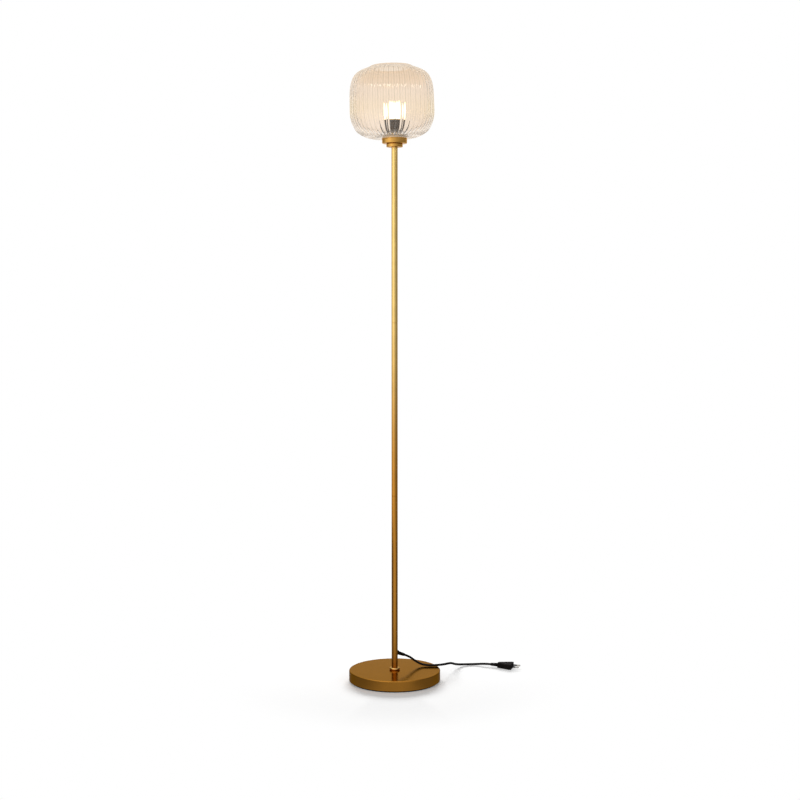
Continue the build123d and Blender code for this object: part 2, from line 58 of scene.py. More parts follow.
class Body(Enum):
    """The bodies that pieces ride on."""

    STAND = "stand"
    BULB = "bulb"


class Grain(Enum):
    """The way that brush marks run on a metal surface."""

    AROUND = "around the lamp's axis"
    ALONG = "along the lamp's axis"


# Shader maths


class Value:
    """One number socket. Arithmetic on it adds Math nodes to its own tree."""

    def __init__(self, kit: "NodeKit", socket: Socket) -> None:
        self.kit = kit
        self.socket = socket

    def _math(self, operation: str, *others: "Value | float") -> "Value":
        """Feed this value and the others to a new Math node, in that order."""
        return self.kit.math(operation, self, *others)

    def __add__(self, other: "Value | float") -> "Value":
        """Sum."""
        return self._math("ADD", other)

    def __mul__(self, other: "Value | float") -> "Value":
        """Product."""
        return self._math("MULTIPLY", other)

    def __sub__(self, other: "Value | float") -> "Value":
        """Difference."""
        return self._math("SUBTRACT", other)

    def __rsub__(self, other: float) -> "Value":
        """Difference, with this value taken away from a number."""
        return self.kit.math("SUBTRACT", other, self)

    def __pow__(self, other: "Value | float") -> "Value":
        """Power."""
        return self._math("POWER", other)

    __radd__ = __add__
    __rmul__ = __mul__

    def size(self) -> "Value":
        """The value without its sign."""
        return self._math("ABSOLUTE")

    def sine(self) -> "Value":
        """Sine of an angle in radians."""
        return self._math("SINE")

    def distance(self, other: "Value") -> "Value":
        """Length of the plane vector whose parts are this value and the other."""
        return (self * self + other * other) ** 0.5

    def ramp(self, low: float, high: float, start: float = 0.0, end: float = 1.0) -> "Value":
        """Smooth step.

        Args:
            low: The value at which the step starts.
            high: The value at which it ends.
            start: The result at and before low.
            end: The result at and after high.

        Returns:
            The stepped value.
        """
        settings = {"interpolation_type": "SMOOTHSTEP"}
        inputs = {"Value": self, "From Min": low, "From Max": high, "To Min": start, "To Max": end}
        return self.kit.value("ShaderNodeMapRange", settings, inputs, "Result")


class NodeKit:
    """Adds nodes to one material's or world's tree."""

    def __init__(self, tree: bpy.types.NodeTree) -> None:
        """Empty the tree and keep it."""
        tree.nodes.clear()
        self.tree = tree

    def node(self, kind: str, settings: dict | None = None, inputs: dict | None = None) -> bpy.types.Node:
        """Add one node of any type.

        Args:
            kind: The node's type.
            settings: Its properties.
            inputs: What its sockets take, by socket name or number: a value, a Value or a socket.

        Returns:
            The new node.
        """
        made = self.tree.nodes.new(kind)
        for name, setting in (settings or {}).items():
            setattr(made, name, setting)
        for name, source in (inputs or {}).items():
            source = source.socket if isinstance(source, Value) else source
            if isinstance(source, Socket):
                self.tree.links.new(source, made.inputs[name])
            else:
                made.inputs[name].default_value = source
        return made

    def value(self, kind: str, settings: dict | None, inputs: dict | None, output: str | int = 0) -> Value:
        """Add one node and wrap one of its outputs."""
        return Value(self, self.node(kind, settings, inputs).outputs[output])

    def math(self, operation: str, *terms: Value | float) -> Value:
        """Add one Math node that takes the terms in order."""
        return self.value("ShaderNodeMath", {"operation": operation}, dict(enumerate(terms)))

    def noise(self, place: Socket, scale: float, detail: float = 2.0) -> Value:
        """Smooth noise from 0 to 1 at a place, with that many cells in a metre."""
        inputs = {"Vector": place, "Scale": scale, "Detail": detail}
        return self.value("ShaderNodeTexNoise", None, inputs, "Fac")

    def place(self) -> Socket:
        """Object coordinates, in metres."""
        return self.node("ShaderNodeTexCoord").outputs["Object"]

    def parts(self, place: Socket) -> tuple[Value, Value, Value]:
        """The x, y and z of a place."""
        split = self.node("ShaderNodeSeparateXYZ", None, {"Vector": place})
        return tuple(Value(self, output) for output in split.outputs)

    def vector(self, x: Value | float, y: Value | float, z: Value | float) -> Socket:
        """A place made from its three parts."""
        return self.node("ShaderNodeCombineXYZ", None, {"X": x, "Y": y, "Z": z}).outputs[0]

    def blend(self, amount: Value, first: Colour | Socket, second: Colour | Socket) -> Socket:
        """Colour that goes from one to another.

        Args:
            amount: 0 for the first colour, 1 for the second, or anything between.
            first: A colour, or a socket that gives one.
            second: The other colour or socket.

        Returns:
            The blended colour.
        """
        first, second = (end if isinstance(end, Socket) else (*end, 1.0) for end in (first, second))
        inputs = {"Factor": amount, 6: first, 7: second}
        return self.node("ShaderNodeMix", {"data_type": "RGBA"}, inputs).outputs[2]

    def scaled(self, colour: Socket, amount: Value) -> Socket:
        """A colour made lighter or darker by an amount round 1."""
        settings = {"operation": "SCALE"}
        return self.node("ShaderNodeVectorMath", settings, {0: colour, "Scale": amount}).outputs[0]

    def bump(self, height: Value, depth: float) -> Socket:
        """A normal tilted by a height from 0 to 1 that stands for a depth in metres."""
        inputs = {"Height": height, "Distance": depth, "Strength": 1.0}
        return self.node("ShaderNodeBump", None, inputs).outputs[0]

    def principled(self, inputs: dict) -> Socket:
        """Add a Principled shader with these sockets."""
        return self.node("ShaderNodeBsdfPrincipled", None, inputs).outputs[0]

    def emission(
        self, colour: Socket | tuple, strength: Value | float = 1.0, kind: str = "Emission"
    ) -> Socket:
        """Add a shader that gives off light, as a surface or, of the kind Background, as the world."""
        return self.node(f"ShaderNode{kind}", None, {"Color": colour, "Strength": strength}).outputs[0]

    def mix(self, share: Value, first: Socket, second: Socket) -> Socket:
        """Mix two shaders, with a share of the second."""
        return self.node("ShaderNodeMixShader", None, {"Fac": share, 1: first, 2: second}).outputs[0]

    def show(self, shader: Socket, kind: str = "Material") -> None:
        """Make a shader what the material or the world shows."""
        self.node(f"ShaderNodeOutput{kind}", None, {"Surface": shader})


def new_material(name: str) -> tuple[bpy.types.Material, NodeKit]:
    """Add a material without nodes.

    Args:
        name: The material's name.
    """
    made = bpy.data.materials.new(name)
    made.use_nodes = True
    return made, NodeKit(made.node_tree)


def new_object(name: str, data: bpy.types.ID) -> bpy.types.Object:
    """Add an object to the scene.

    Args:
        name: The object's name.
        data: Its mesh, curve, light or camera.

    Returns:
        The object.
    """
    made = bpy.data.objects.new(name, data)
    bpy.context.collection.objects.link(made)
    return made


# Finishes


@dataclass(frozen=True)
class Finish:
    """A surface finish. Each kind of finish says in shade() how its nodes are joined."""

    name: str
    colour: Colour
    roughness: float

    def material(self) -> bpy.types.Material:
        """Make this finish's material.

        Returns:
            The material, with its nodes.
        """
        made, kit = new_material(self.name)
        kit.show(self.shade(kit))
        return made

    def shade(self, kit: NodeKit) -> Socket:
        """Add the nodes of this finish with a kit, and give back the shader's socket."""
        raise NotImplementedError

    def shades(self, darker: float, lighter: float) -> tuple[Colour, Colour]:
        """The finish's colour scaled by two factors."""
        return (
            tuple(min(1.0, part * darker) for part in self.colour),
            tuple(min(1.0, part * lighter) for part in self.colour),
        )


@dataclass(frozen=True)
class BrushedMetal(Finish):
    """Satin metal: hair-fine brush marks, faint clouding of the gloss and a thin lacquer, with painted
    light that makes its colour paler with height.
    """

    # Painted light: the colour the metal reaches at the top of its height ramp, lighter than its own
    # colour.
    pale: Colour = (0.72, 0.50, 0.17)
    painted_light_from: float = 0.45
    painted_light_by: float = 1.0
    grain: Grain = Grain.AROUND
    mark_depth: float = 0.000004
    lacquer: float = 0.08
    lacquer_roughness: float = 0.12
    edge_tint: Colour = (0.80, 0.60, 0.38)
    marks_across: float = 2600.0
    marks_along: float = 30.0
    marks_around: float = 3.0

    def shade(self, kit: NodeKit) -> Socket:
        """Stretch fine noise along the grain, and use it in colour, gloss and bump.

        Args:
            kit: Adds nodes to the material.

        Returns:
            The shader.
        """
        place = kit.place()
        x, y, z = kit.parts(place)
        radius = x.distance(y)
        angle = kit.math("ARCTAN2", y, x)
        if self.grain is Grain.AROUND:
            across = self.marks_across
            stretched = kit.vector(radius * across, angle * self.marks_around, z * across)
        else:
            stretched = kit.vector(x * self.marks_across, y * self.marks_across, z * self.marks_along)
        marks = kit.noise(stretched, 1.0, 3.0)
        clouds = kit.noise(place, 34.0, 4.0)
        specks = kit.noise(place, 1900.0, 1.0)
        tone = (marks * 0.5 + clouds * 0.3 + specks * 0.2).ramp(0.35, 0.65, 0.90, 1.06)
        # Painted light: the base colour goes from the metal's own colour to the pale one with height, as if
        # brighter towards the head.
        height_lit_colour = kit.blend(z.ramp(self.painted_light_from, self.painted_light_by), self.colour, self.pale)
        rough = self.roughness + (marks - 0.5) * 0.12 + (clouds - 0.5) * 0.10
        return kit.principled(
            {
                "Base Color": kit.scaled(height_lit_colour, tone),
                "Metallic": 1.0,
                "Roughness": rough,
                "Specular Tint": (*self.edge_tint, 1.0),
                "Coat Weight": self.lacquer,
                "Coat Roughness": self.lacquer_roughness,
                "Normal": kit.bump(marks * 0.7 + specks * 0.3, self.mark_depth),
            }
        )


@dataclass(frozen=True)
class PlatedMetal(Finish):
    """Small plated or pressed metal part: slight mottling and rubbed patches."""

    mottle: float = 420.0

    def shade(self, kit: NodeKit) -> Socket:
        """Mottle the colour and the gloss, and pit the surface a little.

        Args:
            kit: Adds nodes to the material.

        Returns:
            The shader.
        """
        place = kit.place()
        mottle = kit.noise(place, self.mottle, 4.0)
        rubbed = kit.noise(place, self.mottle * 0.2, 2.0).ramp(0.42, 0.62)
        darker, lighter = self.shades(0.82, 1.08)
        return kit.principled(
            {
                "Base Color": kit.blend(mottle.ramp(0.3, 0.7), darker, lighter),
                "Metallic": 1.0,
                "Roughness": self.roughness + (mottle - 0.5) * 0.16 - rubbed * 0.06,
                "Normal": kit.bump(mottle, 0.00002),
            }
        )


@dataclass(frozen=True)
class Moulding(Finish):
    """Moulded plastic or rubber: fine leathery texture with dull and shiny patches."""

    texture: float = 2400.0
    texture_depth: float = 0.000012
    coat: float = 0.0
    skin: float = 0.25

    def shade(self, kit: NodeKit) -> Socket:
        """Pebble the surface with cells and vary its gloss with soft noise.

        Args:
            kit: Adds nodes to the material.

        Returns:
            The shader.
        """
        place = kit.place()
        inputs = {"Vector": place, "Scale": self.texture}
        cells = kit.value("ShaderNodeTexVoronoi", {"feature": "SMOOTH_F1"}, inputs, "Distance")
        patches = kit.noise(place, 60.0, 3.0)
        darker, lighter = self.shades(0.75, 1.25)
        return kit.principled(
            {
                "Base Color": kit.blend(patches.ramp(0.35, 0.65), darker, lighter),
                "Roughness": self.roughness + (patches - 0.5) * 0.14 + (cells - 0.4) * 0.06,
                "Specular IOR Level": self.skin,
                "Coat Weight": self.coat,
                "Coat Roughness": 0.2,
                "Normal": kit.bump(cells, self.texture_depth),
            }
        )


@dataclass(frozen=True)
class CastIron(Finish):
    """Rough cast weight: sand pits, a dark skin and a few rusty blooms."""

    rust: Colour = (0.16, 0.07, 0.035)

    def shade(self, kit: NodeKit) -> Socket:
        """Pit the surface and spread rust over part of it.

        Args:
            kit: Adds nodes to the material.

        Returns:
            The shader.
        """
        place = kit.place()
        pits = kit.noise(place, 900.0, 5.0)
        blooms = kit.noise(place, 45.0, 4.0).ramp(0.52, 0.68)
        skin = kit.blend(pits.ramp(0.35, 0.65), *self.shades(0.7, 1.3))
        return kit.principled(
            {
                "Base Color": kit.blend(blooms * 0.6, skin, self.rust),
                "Metallic": 0.6 - blooms * 0.5,
                "Roughness": self.roughness + (pits - 0.5) * 0.2,
                "Normal": kit.bump(pits, 0.00025),
            }
        )


@dataclass(frozen=True)
class ClearGlass(Finish):
    """Clear glass, drawn a little uneven."""

    waviness: float = 0.00003
    index: float = 1.46

    def shade(self, kit: NodeKit) -> Socket:
        """Tint what passes through, and ripple the surface with slow noise.

        Args:
            kit: Adds nodes to the material.

        Returns:
            The shader.
        """
        place = kit.place()
        x, y, z = kit.parts(place)
        drawn = kit.noise(kit.vector(x, y, z * 0.35), 55.0, 2.0)
        seeds = kit.noise(place, 700.0, 1.0)
        return kit.principled(
            {
                "Base Color": kit.blend(drawn.ramp(0.35, 0.65), *self.shades(0.985, 1.01)),
                "Roughness": self.roughness + drawn * 0.02,
                "IOR": self.index,
                "Transmission Weight": 1.0,
                "Normal": kit.bump(drawn * 0.9 + seeds * 0.1, self.waviness),
            }
        )


@dataclass(frozen=True)
class RibbedGlass(Finish):
    """Champagne glass with painted shade and painted highlight lines along its ribs, in place of the light
    that the ribs bend, deeper in colour near the crown.

    A veil of painted glow stands for the light of the bulb that the glass scatters. It is thin at the foot,
    where the lampholder shows, thicker at the crown and thickest where the glass is seen edge on.
    """

    crown_colour: Colour = (0.84, 0.715, 0.575)
    veil_colour: Colour = (0.87, 0.745, 0.605)
    lit_colour: Colour = (1.0, 0.84, 0.52)
    valley: Span = (0.5, 1.0)
    valley_shade: float = 0.76
    crest: float = 0.02
    crest_shade: float = 0.90
    flank: float = 0.12
    flank_light: float = 0.05
    veil: float = 0.10
    foot_veil: float = 0.035
    crown_veil: float = 0.30
    edge_veil: float = 0.5
    edge: Span = (0.55, 1.0)
    veil_paint: float = 0.25
    veil_glow: float = 0.71
    foot: Span = (1.352, 1.385)
    crown: Span = (1.452, 1.484)
    bulb_height: float = 1.395
    bulb_reach: float = 0.045
    waviness: float = 0.00002
    index: float = 1.46

    def shade(self, kit: NodeKit) -> Socket:
        """Draw the lines by the piece's own "rib" attribute, 0 on a rib's crest and 1 in a valley.

        Args:
            kit: Adds nodes to the material.

        Returns:
            The shader.
        """
        x, y, z = kit.parts(kit.place())
        rib = kit.value("ShaderNodeAttribute", {"attribute_name": "rib"}, None, "Fac")
        deep = z.ramp(*self.crown)
        # Painted shade in the valleys and along the crests, and painted highlight on the flanks, darker
        # still towards the crown.
        lines = rib.ramp(*self.valley, 1.0, self.valley_shade)
        lines = lines + rib.ramp(self.crest, self.flank, 0.0, self.flank_light)
        lines = lines - rib.ramp(0.0, self.crest, 1.0 - self.crest_shade, 0.0)
        lines = lines ** (1.0 + deep)
        drawn = kit.noise(kit.vector(x, y, z * 0.35), 55.0, 2.0)
        tint = kit.blend(deep, self.colour, self.crown_colour)
        glass = kit.principled(
            {
                "Base Color": kit.scaled(tint, lines * drawn.ramp(0.35, 0.65, 0.99, 1.01)),
                "Roughness": self.roughness + drawn * 0.02,
                "IOR": self.index,
                "Transmission Weight": 1.0,
                "Normal": kit.bump(drawn, self.waviness),
            }
        )
        # Painted glow: the veil gives off warm light, warmest level with the bulb, with a larger share at
        # the crown and where the glass is seen edge on.
        from_bulb = (z - self.bulb_height).size()
        glow = kit.blend(from_bulb.ramp(0.0, self.bulb_reach), self.lit_colour, self.veil_colour)
        veil = kit.principled(
            {
                "Base Color": kit.scaled(kit.vector(*self.veil_colour), lines * self.veil_paint),
                "Roughness": 0.6 + drawn * 0.1,
                "Specular IOR Level": 0.0,
                "Emission Color": kit.scaled(glow, lines),
                "Emission Strength": self.veil_glow,
            }
        )
        facing = kit.value("ShaderNodeLayerWeight", None, {"Blend": 0.5}, "Facing")
        share = z.ramp(*self.foot, self.foot_veil, self.veil) + deep * (self.crown_veil - self.veil)
        return kit.mix(share + facing.ramp(*self.edge, 0.0, self.edge_veil), glass, veil)


@dataclass(frozen=True)
class LitGlobe(Finish):
    """Pearl bulb glass with the light on: brightest round the filaments, warmer towards neck and crown."""

    centre: float = 0.0
    reach: float = 0.03
    rim_colour: Colour = (1.0, 0.62, 0.22)
    strength: float = 2.8

    def shade(self, kit: NodeKit) -> Socket:
        """Fade the glow with height above and below the filaments, and add a faint pearl grain.

        Args:
            kit: Adds nodes to the material.

        Returns:
            The shader.
        """
        place = kit.place()
        _, _, z = kit.parts(place)
        fade = (z - self.centre).size().ramp(self.reach * 0.35, self.reach)
        grain = kit.noise(place, 900.0, 2.0)
        return kit.principled(
            {
                "Base Color": kit.blend(grain, *self.shades(0.93, 1.0)),
                "Roughness": self.roughness + grain * 0.1,
                "Emission Color": kit.blend(fade, self.colour, self.rim_colour),
                "Emission Strength": self.strength,
                "Normal": kit.bump(grain, 0.00001),
            }
        )


@dataclass(frozen=True)
class Glow(Finish):
    """A lit filament, hotter along its middle."""

    strength: float = 20.0

    def shade(self, kit: NodeKit) -> Socket:
        """Bead the glow along the filament.

        Args:
            kit: Adds nodes to the material.

        Returns:
            The shader.
        """
        beads = kit.noise(kit.place(), 500.0, 1.0)
        return kit.principled(
            {
                "Base Color": (*self.colour, 1.0),
                "Roughness": self.roughness,
                "Emission Color": kit.blend(beads.ramp(0.3, 0.7), *self.shades(0.8, 1.1)),
                "Emission Strength": self.strength,
            }
        )


# Surfaces


def rounded(corners: list[tuple[float, float]], cut: float, steps: int = 5) -> np.ndarray:
    """Round the corners of a closed outline.

    Each corner is cut back by one length along both of its sides, at most 0.45 of a side, and the
    gap is bridged by a parabola that is drawn towards the corner.

    Args:
        corners: The outline's corners as (radius, height).
        cut: How far each corner is cut back, in metres.
        steps: How many points stand for each corner.

    Returns:
        The points of the rounded outline, corner by corner.
    """
    middle = np.asarray(corners, float)
    to_last = np.roll(middle, 1, axis=0) - middle
    to_next = np.roll(middle, -1, axis=0) - middle
    last_length = np.linalg.norm(to_last, axis=1, keepdims=True)
    next_length = np.linalg.norm(to_next, axis=1, keepdims=True)
    room = np.minimum(cut, 0.45 * np.minimum(last_length, next_length))
    start = middle + to_last / last_length * room
    end = middle + to_next / next_length * room
    share = np.linspace(0.0, 1.0, steps)[None, :, None]
    bridge = (
        (1 - share) ** 2 * start[:, None]
        + 2 * share * (1 - share) * middle[:, None]
        + share**2 * end[:, None]
    )
    return bridge.reshape(-1, 2)


def fair_curve(knots: np.ndarray, first: np.ndarray, last: np.ndarray, count: int) -> np.ndarray:
    """Smooth curve through knots.

    The curve is cubic between knots, its parameter grows with the distance between them, and the
    slopes at the inner knots are those that make the curvature continuous.

    Args:
        knots: The points that the curve passes through.
        first: Its unit direction at the first knot.
        last: Its unit direction at the last knot.
        count: How many points to return, evenly spaced in the parameter.

    Returns:
        The points of the curve.
    """
    gaps = np.linalg.norm(np.diff(knots, axis=0), axis=1)
    size = len(knots)
    inner = np.arange(1, size - 1)
    system = np.eye(size)
    system[inner, inner - 1] = gaps[1:]
    system[inner, inner] = 2 * (gaps[:-1] + gaps[1:])
    system[inner, inner + 1] = gaps[:-1]
    chords = np.diff(knots, axis=0) / gaps[:, None]
    target = np.zeros_like(knots)
    target[0], target[-1] = first, last
    target[inner] = 3 * (gaps[1:, None] * chords[:-1] + gaps[:-1, None] * chords[1:])
    slopes = np.linalg.solve(system, target)
    lengths = np.concatenate([[0.0], np.cumsum(gaps)])
    places = np.linspace(0.0, lengths[-1], count)
    span = np.clip(np.searchsorted(lengths, places, side="right") - 1, 0, size - 2)
    step = gaps[span][:, None]
    t = ((places - lengths[span]) / gaps[span])[:, None]
    return (
        (2 * t**3 - 3 * t**2 + 1) * knots[span]
        + (t**3 - 2 * t**2 + t) * step * slopes[span]
        + (3 * t**2 - 2 * t**3) * knots[span + 1]
        + (t**3 - t**2) * step * slopes[span + 1]
    )


def turned(outline: np.ndarray, columns: int, swell: np.ndarray | float = 0.0) -> np.ndarray:
    """Surface of revolution about the lamp's axis.

    A point's place is its row's radius plus the swell, times the cosine and sine of its column's
    angle, at its row's height.

    Args:
        outline: The rows as (radius, height).
        columns: How many points go round.
        swell: What is added to the radius, one number or one for each row and column.

    Returns:
        Rows by columns by 3 coordinates.
    """
    angle = np.arange(columns) * (2 * pi / columns)
    radius = outline[:, :1] + swell + np.zeros((1, columns))
    height = outline[:, 1:] + np.zeros((1, columns))
    return np.stack([radius * np.cos(angle), radius * np.sin(angle), height], axis=2)


def thread_swell(outline: np.ndarray, columns: int, pitch: float, depth: float, ends: tuple) -> np.ndarray:
    """Swell of a right-handed round thread.

    The swell is a cosine of the height in pitches less the share of a turn, from 0 at a crest to
    minus the depth at a root, and it fades in over one pitch at both ends.

    Args:
        outline: The rows as (radius, height).
        columns: How many points go round.
        pitch: The climb in one turn, in metres.
        depth: The depth from crest to root, in metres.
        ends: The heights between which the thread runs.

    Returns:
        One number for each row and column.
    """
    turn = np.arange(columns) / columns
    height = outline[:, 1:]
    wave = 0.5 * np.cos(2 * pi * (height / pitch - turn)) - 0.5
    fade = np.clip(np.minimum(height - ends[0], ends[1] - height) / pitch, 0.0, 1.0)
    return depth * fade * wave


def mesh_piece(
    name: str, rows: np.ndarray, finish: Finish, body: Body, node: str
) -> bpy.types.Object:
    """Make one closed piece of the lamp from a grid that closes round its columns and its rows.

    Rows whose points all fall together become one point, and the faces there triangles. The faces
    are turned outwards: the signed volume of the whole is then above zero.

    Args:
        name: The piece's name.
        rows: Rows by columns by 3 coordinates, in metres.
        finish: What it is dressed in.
        body: The body that it rides on.
        node: The node that it replaces.

    Returns:
        The new object.
    """
    height, width = rows.shape[:2]
    points = rows.reshape(-1, 3)
    index = np.arange(height * width).reshape(height, width)
    pole = np.ptp(rows, axis=1).max(axis=1) < 1e-9
    index[pole] = index[pole][:, :1]
    right = np.roll(index, -1, axis=1)
    above, above_right = np.roll(index, -1, axis=0), np.roll(right, -1, axis=0)
    quads = np.stack([index, right, above_right, above], axis=2).reshape(-1, 4)
    low = quads[:, 0] == quads[:, 1]
    high = quads[:, 2] == quads[:, 3]
    whole = quads[~low & ~high]
    corners = np.concatenate([quads[low & ~high][:, 1:], quads[high & ~low][:, :3]])
    fans = np.concatenate([whole[:, :3], whole[:, [0, 2, 3]], corners])
    a, b, c = (points[fans[:, k]] for k in range(3))
    if np.einsum("ij,ij->", a, np.cross(b, c)) < 0:
        whole, corners = whole[:, ::-1], corners[:, ::-1]
    used = np.unique(np.concatenate([whole.ravel(), corners.ravel()]))
    renumber = np.zeros(len(points), int)
    renumber[used] = np.arange(len(used))
    mesh = bpy.data.meshes.new(name)
    mesh.from_pydata(points[used].tolist(), [], renumber[whole].tolist() + renumber[corners].tolist())
    mesh.shade_smooth()
    mesh.set_sharp_from_angle(angle=radians(38))
    mesh.materials.append(finish.material())
    piece = new_object(name, mesh)
    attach(piece, body.value)
    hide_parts(node)
    log.info("piece %s: %d faces, %s", name, len(mesh.polygons), finish.name)
    return piece


def dress(finish: Finish, *nodes: str) -> None:
    """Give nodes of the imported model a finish.

    Args:
        finish: What they are dressed in.
        nodes: The nodes' names.
    """
    material = finish.material()
    for node in nodes:
        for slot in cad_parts[node].material_slots:
            slot.material = material
    log.info("nodes %s: %s", ", ".join(nodes), finish.name)


def low(node: str) -> float:
    """Height of a node's lowest point."""
    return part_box(node)[0].z


def high(node: str) -> float:
    """Height of a node's highest point."""
    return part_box(node)[1].z


# Finishes that several sub-assemblies share

# The gold at floor level. The brushed finishes grow paler with height: painted light, darker at the foot
# and brighter towards the head.
GOLD: Colour = (0.43, 0.185, 0.024)
TURNED_GOLD = BrushedMetal("turned_gold", GOLD, 0.18, pale=(0.56, 0.30, 0.07))
DRAWN_GOLD = BrushedMetal("drawn_gold", GOLD, 0.32, grain=Grain.ALONG)
# A lighter copy of the gold for the foot collar: painted light, on a glossier finish of its own.
LIT_POLISHED_GOLD = BrushedMetal("lit_polished_gold", (0.78, 0.48, 0.16), 0.12)
CAST_IRON = CastIron("cast_iron", (0.09, 0.088, 0.085), 0.6)
FOAM = Moulding("foam_pad", (0.006, 0.006, 0.006), 0.9, texture=900.0, texture_depth=0.0002, skin=0.0)
ZINC = PlatedMetal("zinc_plate", (0.52, 0.52, 0.50), 0.34)
BRASS = PlatedMetal("pressed_brass", (0.72, 0.50, 0.20), 0.3)
NICKEL = PlatedMetal("nickel_plate", (0.66, 0.64, 0.60), 0.24)
THERMOSET = Moulding("black_thermoset", (0.012, 0.012, 0.012), 0.32, texture=3000.0, coat=0.3)
# Black thermoset tinted warm brown: painted light from the bulb, for the holder's skirt and its clamp ring.
BULB_LIT_THERMOSET = Moulding("bulb_lit_thermoset", (0.024, 0.012, 0.006), 0.42, texture=3000.0, skin=0.08)
JACKET = Moulding(
    "cord_jacket", (0.007, 0.005, 0.005), 0.5, texture=1800.0, texture_depth=0.00001, skin=0.12
)


@dataclass(frozen=True)
class ThreadedTube:
    """Hollow zinc-plated tube with a thread outside, which rides on the stand."""

    radius: float = 0.0049
    bore: float = 0.0036
    pitch: float = 0.001
    depth: float = 0.0005
    columns: int = 48
    rows_per_pitch: int = 6

    def build(self, node: str) -> None:
        """Make the tube in place of a plain one.

        Args:
            node: The node that it stands for, which gives its two ends.
        """
        bottom, top = low(node), high(node)
        heights = np.linspace(bottom, top, int((top - bottom) / self.pitch * self.rows_per_pitch))
        outside = np.stack([np.full_like(heights, self.radius), heights], axis=1)
        inside = np.array([[self.bore, top], [self.bore, bottom]])
        outline = np.concatenate([outside, inside])
        swell = thread_swell(outline, self.columns, self.pitch, self.depth, (bottom, top))
        swell[len(outside):] = 0.0
        rows = turned(outline, self.columns, swell)
        mesh_piece(f"{node}_threaded", rows, ZINC, Body.STAND, node)


class Base:
    """Weighted round base: gold cover, cast weight, foam pad and the fastening under it."""

    def build(self) -> None:
        """Dress the nodes, and cut the stud's thread."""
        dress(TURNED_GOLD, "base_cover")
        dress(CAST_IRON, "base_weight")
        dress(FOAM, "base_pad")
        dress(ZINC, "base_washer", "base_spring_washer", "base_nut")
        ThreadedTube().build("base_stud")


class Pole:
    """Three gold tubes on a foot collar, with inserts in their ends and threaded tubes between."""

    def build(self) -> None:
        """Dress the tubes and inserts, and thread the nipples."""
        dress(DRAWN_GOLD, "pole_lower", "pole_middle", "pole_upper")
        # The foot collar gets the lighter gold: painted light.
        dress(LIT_POLISHED_GOLD, "pole_collar")
        places = ("foot", "lower_top", "middle_bottom", "middle_top", "upper_bottom", "head")
        dress(ZINC, *(f"insert_{place}" for place in places))
        for place in ("lower", "upper", "head"):
            ThreadedTube().build(f"nipple_{place}")


class Head:
    """Collar and cup under the glass, with the washer and nut inside and the soft gasket on top."""

    def build(self) -> None:
        """Dress the nodes."""
        dress(TURNED_GOLD, "head_collar", "shade_cup")
        dress(ZINC, "cup_washer", "cup_nut")
        dress(Moulding("silicone", (0.62, 0.58, 0.50), 0.5, texture=1200.0), "shade_gasket")


@dataclass
class Lampholder:
    """Black screw-cap lampholder with a threaded skirt, its clamp ring and its contacts."""

    skirt_pitch: float = 0.0025
    skirt_depth: float = 0.0008
    skirt_radius: float = 0.0199
    spigot_radius: float = 0.0173
    ledge_radius: float = 0.015
    bore_radius: float = 0.0162
    mouth_radius: float = 0.0146
    spigot_height: float = 0.0048
    lip_height: float = 0.0032
    shell_radius: float = 0.014
    shell_wall: float = 0.0004
    shell_hole: float = 0.009
    shell_depth: float = 0.0009
    edge: float = 0.0006
    plain_top: float = 0.001
    block_colour: Colour = (0.70, 0.66, 0.56)
    live_colour: Colour = (0.09, 0.035, 0.012)
    neutral_colour: Colour = (0.02, 0.09, 0.32)
    columns: int = 120

    def build(self, screw_pitch: float) -> None:
        """Make the threaded skirt and screw shell, and dress the rest.

        Args:
            screw_pitch: The pitch of the bulb's screw cap, in metres.
        """
        dress(THERMOSET, "holder_cap")
        # The clamp ring and the skirt wear the warm thermoset: painted light from the bulb.
        dress(BULB_LIT_THERMOSET, "shade_ring")
        dress(Moulding("contact_block", self.block_colour, 0.55, texture=1500.0), "contact_block")
        dress(BRASS, "terminals", "centre_contact")
        dress(ZINC, "terminal_screws")
        dress(Moulding("wire_brown", self.live_colour, 0.4), "wire_live")
        dress(Moulding("wire_blue", self.neutral_colour, 0.4), "wire_neutral")
        self.skirt()
        self.screw_shell(screw_pitch)

    def skirt(self) -> None:
        """Make the holder body: spigot, threaded outside and inner lip, as one closed outline."""
        bottom, top = low("holder_body"), high("holder_body")
        shoulder = bottom + self.spigot_height
        heights = np.linspace(shoulder, top - self.edge, 150)
        thread = np.stack([np.full_like(heights, self.skirt_radius), heights], axis=1)
        mouth = rounded(
            [
                (self.skirt_radius, top),
                (self.mouth_radius, top),
                (self.mouth_radius, top - self.lip_height),
                (self.bore_radius, top - self.lip_height),
                (self.bore_radius, low("contact_block")),
                (self.ledge_radius, low("contact_block")),
                (self.ledge_radius, bottom),
                (self.spigot_radius, bottom),
                (self.spigot_radius, shoulder),
            ],
            self.edge,
        )
        outline = np.concatenate([thread, mouth])
        ends = (shoulder, top - self.plain_top)
        swell = thread_swell(outline, self.columns, self.skirt_pitch, self.skirt_depth, ends)
        swell[len(thread):] = 0.0
        rows = turned(outline, self.columns, swell)
        mesh_piece("holder_skirt", rows, BULB_LIT_THERMOSET, Body.STAND, "holder_body")

    def screw_shell(self, pitch: float) -> None:
        """Make the pressed shell that the bulb's cap runs in: inner and outer wall share one swell.

        Args:
            pitch: The thread's pitch, in metres.
        """
        bottom, top = high("contact_block"), high("screw_shell")
        heights = np.linspace(bottom, top, 90)
        outside = np.stack([np.full_like(heights, self.shell_radius), heights], axis=1)
        inside = outside[::-1] - [self.shell_wall, 0.0]
        inside[-1, 1] += self.shell_wall
        floor = np.array([[self.shell_hole, bottom + self.shell_wall], [self.shell_hole, bottom]])
        outline = np.concatenate([outside, inside, floor])
        swell = thread_swell(outline, self.columns, pitch, self.shell_depth, (bottom, top))
        swell[-len(floor):] = 0.0
        rows = turned(outline, self.columns, swell)
        mesh_piece("screw_shell_threaded", rows, BRASS, Body.STAND, "screw_shell")


